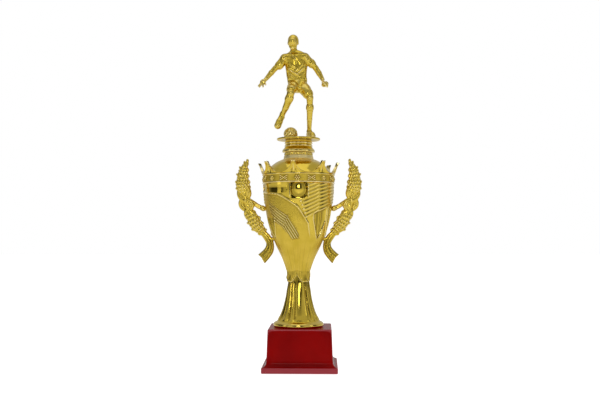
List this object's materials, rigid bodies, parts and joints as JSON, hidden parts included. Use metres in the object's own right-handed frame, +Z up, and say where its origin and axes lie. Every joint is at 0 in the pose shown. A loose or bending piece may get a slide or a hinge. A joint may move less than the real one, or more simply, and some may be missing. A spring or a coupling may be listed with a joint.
{
  "type": "figure trophy",
  "caption": "Lidded urn trophy with crown rim and wheat-ear handles on a fluted stem and square plinth, topped by a football player that turns on its stud.",
  "frame": {"origin": "centre of the underside of the pad, on the vertical axis of the bowl", "axes": "+Z up along the bowl's axis, -Y towards the front that the player faces, +X to the right seen from the front"},
  "size_m": [0.1526, 0.098, 0.4013],
  "materials": {
    "foam_black": "matte foam sheet",
    "plastic_black": "moulded, fine texture",
    "steel_zinc": "bright zinc plate",
    "ballast_iron": "rough cast",
    "lacquer_red": "glossy dark red lacquer",
    "gold_stem": "vacuum metallised gold, mirror",
    "gold_bowl": "vacuum metallised gold, mirror and satin",
    "gold_crown": "vacuum metallised gold",
    "gold_handles": "vacuum metallised gold",
    "gold_lid": "vacuum metallised gold, mirror",
    "gold_riser": "vacuum metallised gold",
    "gold_figure": "vacuum metallised gold",
    "brass_insert": "turned"
  },
  "bodies": {
    "cup": {"base_pad": "foam_black", "bottom_cover": "plastic_black", "cover_screws": "steel_zinc", "ballast_block": "ballast_iron", "plinth_shell": "lacquer_red", "tie_rod": "steel_zinc", "base_washer": "steel_zinc", "base_nut": "steel_zinc", "stem_foot": "gold_stem", "bowl": "gold_bowl", "bowl_washer": "steel_zinc", "bowl_nut": "steel_zinc", "crown_ring": "gold_crown", "handle_left": "gold_handles", "handle_right": "gold_handles"},
    "lid": {"lid_dome": "gold_lid", "figure_riser": "gold_riser", "lid_stud": "steel_zinc", "lid_washer": "steel_zinc", "lid_nut": "steel_zinc", "riser_nut": "steel_zinc"},
    "figure": {"figure_disc": "gold_figure", "figure_insert": "brass_insert", "player_figure": "gold_figure", "football": "gold_figure"}
  },
  "joints": [
    {"name": "lid_lift", "type": "slide", "parent": "cup", "child": "lid", "axis": [0, 0, 1], "range_m": [0, 0.06]},
    {"name": "figure_turn", "type": "hinge", "parent": "lid", "child": "figure", "pos_m": [0, 0, 0.2728], "axis": [0, 0, 1], "range_deg": [-180, 180]}
  ]
}
